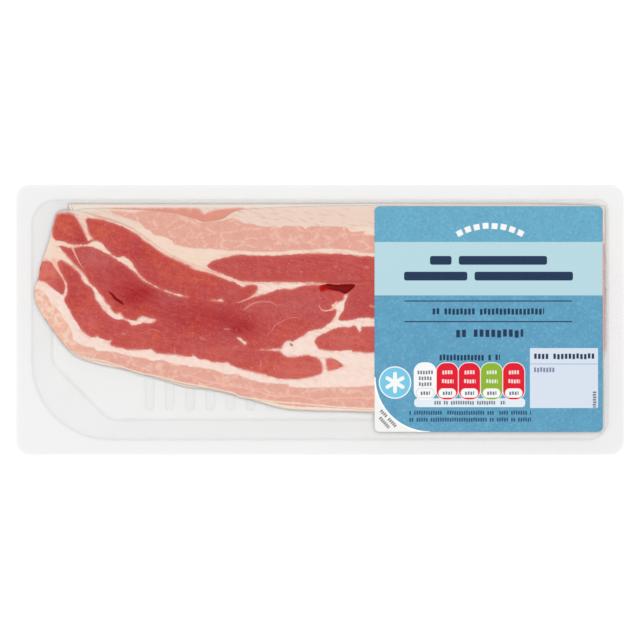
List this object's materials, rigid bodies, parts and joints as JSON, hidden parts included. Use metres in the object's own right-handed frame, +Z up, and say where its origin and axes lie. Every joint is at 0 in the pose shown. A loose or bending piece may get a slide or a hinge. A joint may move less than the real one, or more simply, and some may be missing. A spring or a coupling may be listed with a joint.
{
  "type": "bacon pack",
  "caption": "Flat clear tray of streaky bacon rashers in two overlapping piles, sealed under clear film, with a blue printed label over its right end.",
  "frame": {"origin": "on the surface the pack stands on, under the middle of the tray", "axes": "+X along the pack's length towards the label, +Y towards the pack's rear long side, +Z up out of the lid film"},
  "size_m": [0.27, 0.12, 0.015],
  "materials": {
    "clear_plastic": "clear thermoformed sheet with a faint haze",
    "clear_film": "clear taut lidding film",
    "printed_label": "coated paper printed in flat colours",
    "streaky_bacon": "moist raw cured pork, lean red with white and pale salmon fat"
  },
  "bodies": {
    "root": {"tray": "clear_plastic", "lid_film": "clear_film", "label": "printed_label", "rasher_front_1": "streaky_bacon", "rasher_front_2": "streaky_bacon", "rasher_front_3": "streaky_bacon", "rasher_front_4": "streaky_bacon", "rasher_front_5": "streaky_bacon", "rasher_front_6": "streaky_bacon", "rasher_front_7": "streaky_bacon", "rasher_rear_1": "streaky_bacon", "rasher_rear_2": "streaky_bacon", "rasher_rear_3": "streaky_bacon", "rasher_rear_4": "streaky_bacon", "rasher_rear_5": "streaky_bacon", "rasher_rear_6": "streaky_bacon", "rasher_rear_7": "streaky_bacon"}
  },
  "joints": []
}
